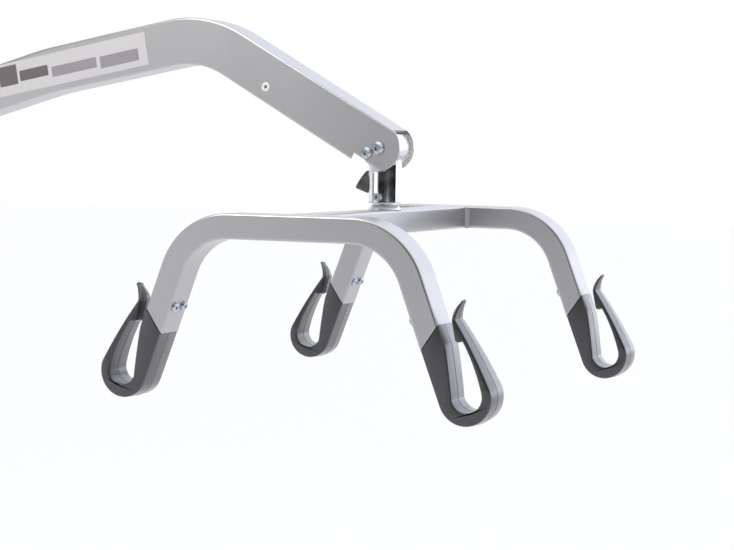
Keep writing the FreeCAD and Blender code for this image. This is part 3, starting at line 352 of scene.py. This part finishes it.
@dataclass
class SlingHook:
    """A moulded hook at the end of a bar's leg, with a tongue that tapers to its lip.

    The outline is in millimetres, outward and up from the leg's own axis.

    Attributes:
        node: the CAD node that it stands for.
        leg_tilt: degrees that the leg leans outward from straight down.
        half_width: half of its width at the seat.
        neck_half: half of the tongue's width where it passes the tooth.
        lip_half: half of the tongue's width at its tip.
        round_over: radius of its long edges.
        draft: how far the sides lean in from the parting line.
        ridge: height of the parting line's witness.
        ridge_half: half of the witness's width.
        step: longest edge along the outline.
        seat_level: how far down the leg the seat's widest part is.
        neck_level: how far down the tongue narrows past the tooth.
        tip_level: how far down the lip ends.
        arm_side: how far outward the tongue begins.
    """

    node: str
    leg_tilt: float = 20.8
    half_width: float = 20.0
    neck_half: float = 12.5
    lip_half: float = 3.2
    round_over: float = 1.8
    draft: float = 0.5
    ridge: float = 0.28
    ridge_half: float = 0.35
    step: float = 2.5
    seat_level: float = 141.0
    neck_level: float = 57.0
    tip_level: float = 36.0
    arm_side: float = 10.0

    def outline(self) -> list[Point]:
        """The closed outline, seen along the bar."""
        loop: list[Point] = [(0, -57), (0, -83)]
        loop += arc_points(loop[-1], (-5.86, -112), (-12.8, -141), self.step)
        loop += arc_points(loop[-1], (5, -158.8), (22.8, -141), self.step / 2)
        loop += arc_points(loop[-1], (22.6, -112), (18.5, -83), self.step)
        loop.append((15, -83))
        loop += arc_points(loop[-1], (11.9, -81.8), (10.5, -78), self.step)
        loop.append((13, -57))
        loop += arc_points(loop[-1], (17.4, -48), (29.0, -40.2), self.step)
        loop += arc_points(loop[-1], (31.2, -39.3), (31.6, -41.4), self.step / 2)
        loop += arc_points(loop[-1], (23, -50), (18.3, -57), self.step)
        loop += arc_points(loop[-1], (28.2, -100), (34.5, -142), self.step)
        loop += arc_points(loop[-1], (2.5, -174), (-29.5, -142), self.step)
        loop += [(-29.8, -110), (-30, -78)]
        return loop

    def half_at(self, point: Point) -> float:
        """Half of the hook's width at a point of its outline.

        Args:
            point: outward and up, in millimetres.

        Returns:
            The half width in millimetres.
        """
        outward, level = point[0], -point[1]
        if outward < self.arm_side or level >= self.seat_level:
            return self.half_width
        if level >= self.neck_level:
            share = (self.seat_level - level) / (self.seat_level - self.neck_level)
            return self.half_width + share * (self.neck_half - self.half_width)
        share = min(1.0, (self.neck_level - level) / (self.neck_level - self.tip_level))
        return self.neck_half + share * (self.lip_half - self.neck_half)

    def rings(self) -> list[tuple[float, float, float]]:
        """Rings across the hook: share of the half width, extra width and inset."""
        half = []
        for step in range(ROUNDING_STEPS + 1):
            angle = math.radians(90 * step / ROUNDING_STEPS)
            half.append((1.0, self.round_over * (math.cos(angle) - 1),
                         self.round_over * (1 - math.sin(angle)) + self.draft))
        half += [(0.0, self.ridge_half, 0.0), (0.0, 0.0, -self.ridge)]
        mirrored = [(-share, -extra, inset) for share, extra, inset in reversed(half[:-1])]
        return half + mirrored

    def build(self) -> bpy.types.Object:
        """Makes the hook where the CAD has it."""
        loop = self.outline()
        count = len(loop)
        signed = sum(loop[k - 1][0] * loop[k][1] - loop[k][0] * loop[k - 1][1]
                     for k in range(count))
        inward = []
        for k, (x, y) in enumerate(loop):
            before, after = loop[k - 1], loop[(k + 1) % count]
            along = Vector((after[0] - before[0], after[1] - before[1])).normalized()
            side = Vector((-along.y, along.x)) * (1 if signed > 0 else -1)
            inward.append(side)
        side = 1 if middle(self.node).x > middle("spindle").x else -1
        lean = math.radians(self.leg_tilt)
        mesh = bmesh.new()
        rows = []
        for share, extra, inset in self.rings():
            row = []
            for point, into in zip(loop, inward):
                v, w = point[0] + into.x * inset, point[1] + into.y * inset
                across = share * self.half_at(point) + extra
                row.append(mesh.verts.new(Vector((
                    side * (v * math.cos(lean) - w * math.sin(lean)), across,
                    w * math.cos(lean) + v * math.sin(lean))) * MM))
            rows.append(row)
        for row, following in zip(rows, rows[1:]):
            for k in range(count):
                mesh.faces.new((row[k - 1], row[k], following[k], following[k - 1]))
        for trio in tessellate_polygon([[Vector((x, y, 0.0)) for x, y in loop]]):
            for row in (rows[0], rows[-1]):
                mesh.faces.new([row[k] for k in trio])
        self.settle(mesh)
        made = new_piece(f"sling_{self.node}", mesh, BLACK_NYLON, Body.SPREADER)
        for face in made.data.polygons:
            face.use_smooth = len(face.vertices) > 3
        made.data.set_sharp_from_angle(angle=SHARP_ANGLE)
        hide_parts(self.node)
        return made

    def settle(self, mesh: bmesh.types.BMesh) -> None:
        """Moves the mesh so that its lowest, outermost corner is the CAD node's.

        Args:
            mesh: the hook's mesh about its own leg's origin.
        """
        low, high = (Vector(corner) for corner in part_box(self.node))
        side = 1 if middle(self.node).x > middle("spindle").x else -1
        spots = [vertex.co for vertex in mesh.verts]
        inner = min(side * spot.x for spot in spots)
        goal = low.x if side > 0 else -high.x
        shift = Vector((side * (goal - inner), (low.y + high.y) / 2,
                        low.z - min(spot.z for spot in spots)))
        bmesh.ops.translate(mesh, verts=mesh.verts, vec=shift)


# ------------------------------------------------------------------ boom print


@dataclass
class BoomPrint:
    """Plain grey bars printed on the boom's film, in the film's own slope.

    Attributes:
        lift: how far the ink stands off the film, in millimetres.
        corner: radius of each bar's corners, in millimetres.
        dark_bars: (from, to, low, high) of each dark bar, in millimetres from the film's
            front edge and from its middle line.
        pale_bars: the same for the pale bars.
    """

    lift: float = 0.05
    corner: float = 1.2
    dark_bars: Sequence[tuple[float, float, float, float]] = (
        (214.0, 245.0, -9.0, 18.5), (162.0, 210.0, -6.5, 8.0))
    pale_bars: Sequence[tuple[float, float, float, float]] = (
        (82.0, 156.0, -10.5, 3.5), (14.0, 76.0, -13.5, 2.5))

    def slope(self) -> Vector:
        """Direction of the film's long edge, toward the fork."""
        data = frame["nodes"]["label_film"].data
        spans = [data.vertices[e.vertices[1]].co - data.vertices[e.vertices[0]].co
                 for e in data.edges]
        longest = max(spans, key=lambda span: abs(span.x) if abs(span.y) < MM * 0.01 else 0.0)
        return longest.normalized() * math.copysign(1.0, longest.x)

    def build(self) -> None:
        """Prints every bar."""
        for tone, finish, bars in (("dark", DARK_INK, self.dark_bars),
                                   ("pale", PALE_INK, self.pale_bars)):
            for number, bar in enumerate(bars, start=1):
                self.bar(f"{tone}_print_bar_{number}", finish, bar)

    def bar(self, name: str, finish: Finish, reach: tuple[float, float, float, float]) -> None:
        """Prints one bar with rounded corners.

        Args:
            name: the piece's name.
            finish: its ink.
            reach: from, to, low and high, as in dark_bars.
        """
        low, high = (Vector(corner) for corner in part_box("label_film"))
        along = self.slope()
        above = Vector((-along.z, 0.0, along.x))
        centre = (low + high) / 2
        half = self.film_half(along, centre)
        front = Vector((centre.x, low.y - self.lift * MM, centre.z)) + along * half
        near, far, down, up = reach
        mesh = bmesh.new()
        ring = []
        for turn, (u, w) in enumerate(((-near - self.corner, up - self.corner),
                                       (-far + self.corner, up - self.corner),
                                       (-far + self.corner, down + self.corner),
                                       (-near - self.corner, down + self.corner))):
            for step in range(CORNER_STEPS + 1):
                angle = math.radians(90 * (turn + step / CORNER_STEPS))
                ring.append((u + self.corner * math.cos(angle), w + self.corner * math.sin(angle)))
        outer = [mesh.verts.new(front + (along * u + above * w) * MM) for u, w in ring]
        face = mesh.faces.new(outer)
        pushed = bmesh.ops.extrude_face_region(mesh, geom=[face])
        backs = [v for v in pushed["geom"] if isinstance(v, bmesh.types.BMVert)]
        bmesh.ops.translate(mesh, verts=backs, vec=(0, self.lift * 0.8 * MM, 0))
        new_piece(name, mesh, finish, Body.BOOM)

    def film_half(self, along: Vector, centre: Vector) -> float:
        """Half of the film's length, in metres.

        Args:
            along: its long direction.
            centre: its middle.

        Returns:
            The greatest reach of its corners along that direction.
        """
        data = frame["nodes"]["label_film"].data
        return max((vertex.co - centre).dot(along) for vertex in data.vertices)


# ------------------------------------------------------------------ studio


@dataclass
class Studio:
    """Floor, backdrop light and soft panels.

    Attributes:
        floor_level: height of the floor under the arm's pivot, in metres.
        floor_size: edge of the square floor, in metres.
        cool_from: bearing in degrees beyond which the room's light is bluish.
        cool_tint: colour of that light.
        plain_tint: colour of the rest.
        low_tones: brightness round the room at eye level, by bearing.
        high_tones: brightness round the room above and below that.
    """

    floor_level: float = -1.35
    floor_size: float = 60.0
    cool_from: float = 60.0
    cool_tint: tuple[float, float, float] = (0.92, 0.95, 1.06)
    plain_tint: tuple[float, float, float] = (1.0, 0.99, 0.985)
    low_tones: Sequence[Point] = ((-180, 0.95), (-103, 0.95), (-100, 0.30), (-84, 0.30),
                                  (-81, 1.5), (-62, 1.5), (-56, 0.8), (-49, 0.0), (76, 0.0),
                                  (84, 2.3), (130, 2.3), (180, 1.05))
    high_tones: Sequence[Point] = ((-180, 0.95), (-110, 0.8), (-80, 0.22), (-40, 0.04),
                                   (15, 0.03), (45, 1.2), (110, 1.7), (150, 1.6), (180, 1.1))

    def build(self) -> None:
        """Makes the floor, the surrounding light and the panels."""
        self.floor()
        self.surround()
        self.panel("left_softbox", (0.22, -0.95, 0.8), (0.25, 0.0, 0.12), 0.7, 9.0)

    def floor(self) -> None:
        """A plain pale floor that reads as white as the room."""
        mesh = bmesh.new()
        bmesh.ops.create_grid(mesh, x_segments=4, y_segments=4, size=self.floor_size / 2)
        data = bpy.data.meshes.new("floor")
        mesh.to_mesh(data)
        mesh.free()
        item = bpy.data.objects.new("floor", data)
        item.location.z = self.floor_level
        bpy.context.scene.collection.objects.link(item)
        made = bpy.data.materials.new("pale_floor")
        made.use_nodes = True
        shader = made.node_tree.nodes["Principled BSDF"]
        shader.inputs["Base Color"].default_value = linear("#F3F2F1")
        shader.inputs["Roughness"].default_value = 0.9
        data.materials.append(made)

    def panel(self, name: str, spot: Sequence[float], target: Sequence[float], size: float,
              power: float) -> None:
        """A square softbox.

        Args:
            name: the light's name.
            spot: its place, in metres.
            target: the point that it faces.
            size: its edge, in metres.
            power: its output in watts.
        """
        data = bpy.data.lights.new(name, "AREA")
        data.shape = "SQUARE"
        data.size = size
        data.energy = power
        item = bpy.data.objects.new(name, data)
        item.location = spot
        item.rotation_euler = (Vector(target) - Vector(spot)).to_track_quat("-Z", "Y").to_euler()
        bpy.context.scene.collection.objects.link(item)

    def surround(self) -> None:
        """White room light from above, behind and both sides, dim from the front."""
        world = bpy.data.worlds.new("studio")
        bpy.context.scene.world = world
        world.use_nodes = True
        tree = world.node_tree
        tree.nodes.clear()
        where = add_node(tree, "ShaderNodeTexCoord")
        facing = Vector((math.sin(math.radians(25.8)), -math.cos(math.radians(25.8)), 0))
        beside = Vector((-facing.y, facing.x, 0))
        dots = []
        for direction in (beside, facing):
            dots.append(add_node(tree, "ShaderNodeVectorMath", {"operation": "DOT_PRODUCT"}, {
                0: (where, "Generated"), 1: direction}))
        bearing = add_node(tree, "ShaderNodeMath", {"operation": "ARCTAN2"}, {
            0: (dots[0], "Value"), 1: (dots[1], "Value")})
        share = add_node(tree, "ShaderNodeMapRange", inputs={
            "Value": (bearing, 0), "From Min": -math.pi, "From Max": math.pi})
        low_ring = self.ring(tree, share, self.low_tones)
        high_ring = self.ring(tree, share, self.high_tones)
        level = add_node(tree, "ShaderNodeSeparateXYZ", inputs={0: (where, "Generated")})
        tilt = add_node(tree, "ShaderNodeMath", {"operation": "ABSOLUTE"}, {0: (level, "Z")})
        off_level = add_node(tree, "ShaderNodeMapRange", {"interpolation_type": "SMOOTHSTEP"}, {
            "Value": (tilt, 0), "From Min": 0.12, "From Max": 0.22})
        banded = add_node(tree, "ShaderNodeMix", {"data_type": "RGBA"}, {
            0: (off_level, "Result"), 6: (low_ring, "Color"), 7: (high_ring, "Color")})
        above = add_node(tree, "ShaderNodeMapRange", {"interpolation_type": "SMOOTHSTEP"}, {
            "Value": (level, "Z"), "From Min": 0.65, "From Max": 0.95})
        room = add_node(tree, "ShaderNodeMix", {"data_type": "RGBA"}, {
            0: (above, "Result"), 6: (banded, 2), 7: (1.6, 1.63, 1.7, 1.0)})
        lit = add_node(tree, "ShaderNodeBackground", inputs={"Color": (room, 2), "Strength": 1.0})
        seen = add_node(tree, "ShaderNodeBackground", inputs={
            "Color": (1.0, 1.0, 1.0, 1.0), "Strength": 1.0})
        ray = add_node(tree, "ShaderNodeLightPath")
        both = add_node(tree, "ShaderNodeMixShader", inputs={
            0: (ray, "Is Camera Ray"), 1: (lit, "Background"), 2: (seen, "Background")})
        add_node(tree, "ShaderNodeOutputWorld", inputs={"Surface": (both, "Shader")})

    def ring(self, tree: bpy.types.NodeTree, share: bpy.types.Node,
             tones: Sequence[Point]) -> bpy.types.Node:
        """A ring of brightness round the camera's own direction.

        Args:
            tree: the world's tree.
            share: the node with the bearing, from 0 straight behind to 1.
            tones: (bearing in degrees, brightness) pairs in order.

        Returns:
            The ramp node.
        """
        node = add_node(tree, "ShaderNodeValToRGB", inputs={"Fac": (share, "Result")})
        ramp = node.color_ramp
        while len(ramp.elements) < len(tones):
            ramp.elements.new(0.5)
        for element, (angle, tone) in zip(ramp.elements, tones):
            element.position = (angle + 180) / 360
            tint = self.cool_tint if angle > self.cool_from else self.plain_tint
            element.color = (*(tone * part for part in tint), 1.0)
        return node


@dataclass
class Viewpoint:
    """The camera, set where the arm is seen from its near side, in front.

    Attributes:
        spot: the camera's place, in metres.
        yaw: degrees it turns left of straight across the arm.
        pitch: degrees it looks down.
        roll: degrees it leans.
        lens: focal length in millimetres on a 36 mm sensor.
    """

    spot: tuple[float, float, float] = (1.8273, -2.0320, -0.0001)
    yaw: float = 25.77
    pitch: float = 4.10
    roll: float = 0.83
    lens: float = 87.0

    def build(self) -> None:
        """Makes the camera and sets it as the scene's."""
        data = bpy.data.cameras.new("camera")
        data.lens = self.lens
        data.sensor_width = 36.0
        item = bpy.data.objects.new("camera", data)
        turn = (Matrix.Rotation(math.radians(self.yaw), 4, "Z")
                @ Matrix.Rotation(math.radians(90 - self.pitch), 4, "X")
                @ Matrix.Rotation(math.radians(self.roll), 4, "Z"))
        item.matrix_world = Matrix.Translation(self.spot) @ turn
        bpy.context.scene.collection.objects.link(item)
        bpy.context.scene.camera = item


# ------------------------------------------------------------------ whole scene


def main() -> None:
    """Builds the scene in order, from the camera to the last trim."""
    logging.basicConfig(level=logging.INFO, format="%(name)s: %(message)s")
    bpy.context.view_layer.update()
    bpy.context.scene.view_settings.view_transform = "Standard"
    Viewpoint().build()
    Studio().build()
    dress_cad_nodes()
    BoomPrint().build()
    for node in sorted(frame["nodes"]):
        if node.startswith("hook_") and node.split("_")[1] in ("front", "rear"):
            SlingHook(node).build()


if __name__ == "__main__":
    main()
